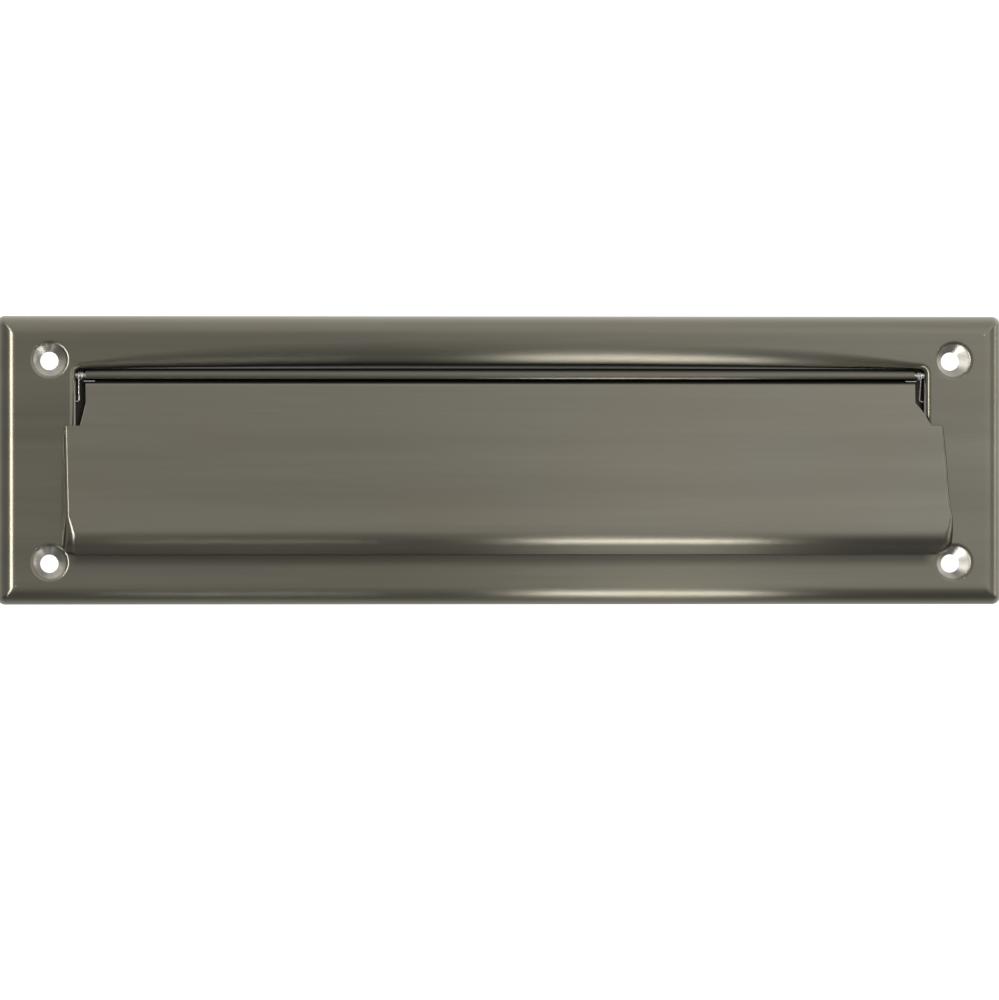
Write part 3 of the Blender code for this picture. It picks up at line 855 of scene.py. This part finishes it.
def drawn_steel(name, colour, roughness, grain):
    """Plain bright steel, drawn or stamped, with fine marks and some tarnish."""
    n = Nodes(bpy.data.materials.new(name))
    marks = n.noise(1.0, grain, detail=4)
    tarnish = n.noise(180.0, (1, 1, 1), detail=5, roughness=0.65)
    dull = tuple(c * 0.62 for c in colour)
    base = n.mix(n.fit(tarnish, 0.42, 0.7, 0.0, 1.0), colour, dull)
    n.join(base, n.shader.inputs["Base Color"])
    rough = n.fit(marks, 0.3, 0.7, roughness - 0.07, roughness + 0.09)
    n.join(rough, n.shader.inputs["Roughness"])
    n.shader.inputs["Metallic"].default_value = 1.0
    n.join(n.bump(marks, 0.000004), n.shader.inputs["Normal"])
    return n.owner


def dress(piece, material, body=None):
    piece.data.materials.clear()
    piece.data.materials.append(material)
    if body:
        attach(piece, body)


def make_pieces():
    # Each piece's painted shade: inside the opening, and a painted shadow under the flap's foot
    plate_painted_shade = (PLATE_RECESS_Y, PLATE_PAINTED_SHADOW)
    flap_painted_shade = (FLAP_RECESS_Y, FLAP_PAINTED_SHADOW)
    plate_nickel = brushed_nickel("plate_antique_nickel", PLATE_COLOUR, (0, 0, 0), *plate_painted_shade)
    flap_nickel = brushed_nickel("flap_antique_nickel", FLAP_COLOUR, (3, 5, 7), *flap_painted_shade)
    rod_steel = drawn_steel("drawn_rod_steel", (0.42, 0.41, 0.39), 0.30, (40, 2500, 2500))
    wire = drawn_steel("spring_wire_steel", (0.46, 0.45, 0.43), 0.26, (900, 900, 900))
    clip_steel = drawn_steel("stamped_clip_steel", (0.26, 0.25, 0.24), 0.36, (1500, 1500, 1500))

    plate = make_face_plate()
    dress(plate, plate_nickel, "plate")
    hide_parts("face_plate")
    flap = make_flap()
    dress(flap, flap_nickel, "flap")
    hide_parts("flap")
    rod = make_rod()
    dress(rod, rod_steel, "plate")
    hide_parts("hinge_rod")
    for word, side in (("left", -1), ("right", 1)):
        clip = make_clip(f"steel_{word}_clip", side)
        dress(clip, clip_steel, "plate")
        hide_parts(f"{word}_rod_clip")
        spring = make_spring(f"wire_{word}_spring", side)
        dress(spring, wire)
        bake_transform(spring)
        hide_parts(f"{word}_torsion_spring")


# ------------------------------------------------------------------- studio


def aim(obj, target):
    direction = Vector(target) - obj.location
    obj.rotation_euler = direction.to_track_quat("-Z", "Y").to_euler()


def area_light(name, place, target, size, watts, colour=(1.0, 1.0, 1.0)):
    data = bpy.data.lights.new(name, "AREA")
    data.shape = "RECTANGLE"
    data.size, data.size_y = size
    data.energy = watts
    data.color = colour
    light = bpy.data.objects.new(name, data)
    bpy.context.scene.collection.objects.link(light)
    light.location = place
    aim(light, target)
    return light


def make_floor():
    bm = bmesh.new()
    bmesh.ops.create_circle(bm, cap_ends=True, segments=96, radius=0.62)
    mesh = bpy.data.meshes.new("floor")
    bm.to_mesh(mesh)
    bm.free()
    floor = link("floor", mesh)
    floor.location = (0, 0, -0.21)
    n = Nodes(bpy.data.materials.new("pale_floor"))
    mottle = n.noise(14.0, (1, 1, 1), detail=3)
    n.join(n.mix(mottle, (0.86, 0.86, 0.85), (0.90, 0.90, 0.89)), n.shader.inputs["Base Color"])
    n.shader.inputs["Roughness"].default_value = 0.9
    mesh.materials.append(n.owner)
    floor.visible_glossy = False


def make_world():
    """White behind the object. In its reflections, a grey studio: dim below and to the left, and white
    again behind."""
    world = bpy.data.worlds.new("studio")
    bpy.context.scene.world = world
    n = Nodes(world, "Generated")
    x, y, z = n.axes()
    sideways = n.fit(x, -0.8, 0.8, *STUDIO_SIDES, "SMOOTHSTEP")
    upwards = n.fit(z, -0.8, 0.8, *STUDIO_HEIGHTS, "SMOOTHSTEP")
    front = n.math("MULTIPLY", sideways, upwards)
    behind = n.fit(y, -0.3, 0.6, 0.0, STUDIO_BACK, "SMOOTHSTEP")
    studio = n.add("ShaderNodeBackground")
    n.join(n.math("ADD", front, behind), studio.inputs["Strength"])
    studio.inputs["Color"].default_value = (1.0, 1.0, 1.0, 1.0)
    white = n.add("ShaderNodeBackground")
    white.inputs["Color"].default_value = (1.0, 1.0, 1.0, 1.0)
    white.inputs["Strength"].default_value = WHITE_BACKDROP
    mix = n.add("ShaderNodeMixShader")
    n.join(n.add("ShaderNodeLightPath").outputs["Is Camera Ray"], mix.inputs["Fac"])
    n.join(studio.outputs["Background"], mix.inputs[1])
    n.join(white.outputs["Background"], mix.inputs[2])
    n.join(mix.outputs["Shader"], n.tree.nodes["World Output"].inputs["Surface"])


def make_lights():
    area_light("front_right", (0.66, -1.00, 0.22), (0.60, 0, 0.20), (1.0, 1.0), 2.5, (1.0, 1.01, 1.10))
    area_light("left_strip", (-0.42, -0.62, -0.06), (-0.15, 0, 0), (0.11, 0.40), 3.6)
    area_light("right_strip", (0.95, -0.12, -0.05), (0.16, 0, 0), (0.05, 0.5), 0.7)
    area_light("low_right", (0.066, -0.12, -0.165), (0.05, 0, 0), (0.075, 0.035), 0.17)
    area_light("low_left", (-0.07, -0.13, -0.185), (-0.07, 0, 0), (0.09, 0.010), 0.022)


def make_camera():
    data = bpy.data.cameras.new("camera")
    data.lens = data.sensor_width * CAMERA_AWAY / VIEW_WIDTH
    data.clip_end = 100.0
    camera = bpy.data.objects.new("camera", data)
    bpy.context.scene.collection.objects.link(camera)
    across, off = CAMERA_AWAY * math.sin(CAMERA_TURN), CAMERA_AWAY * math.cos(CAMERA_TURN)
    camera.location = (-across, -off, CAMERA_HEIGHT)
    camera.rotation_euler = (math.radians(90), 0, -CAMERA_TURN)
    bpy.context.scene.camera = camera


make_pieces()
make_floor()
make_world()
make_lights()
make_camera()
bpy.context.scene.view_settings.view_transform = "Standard"
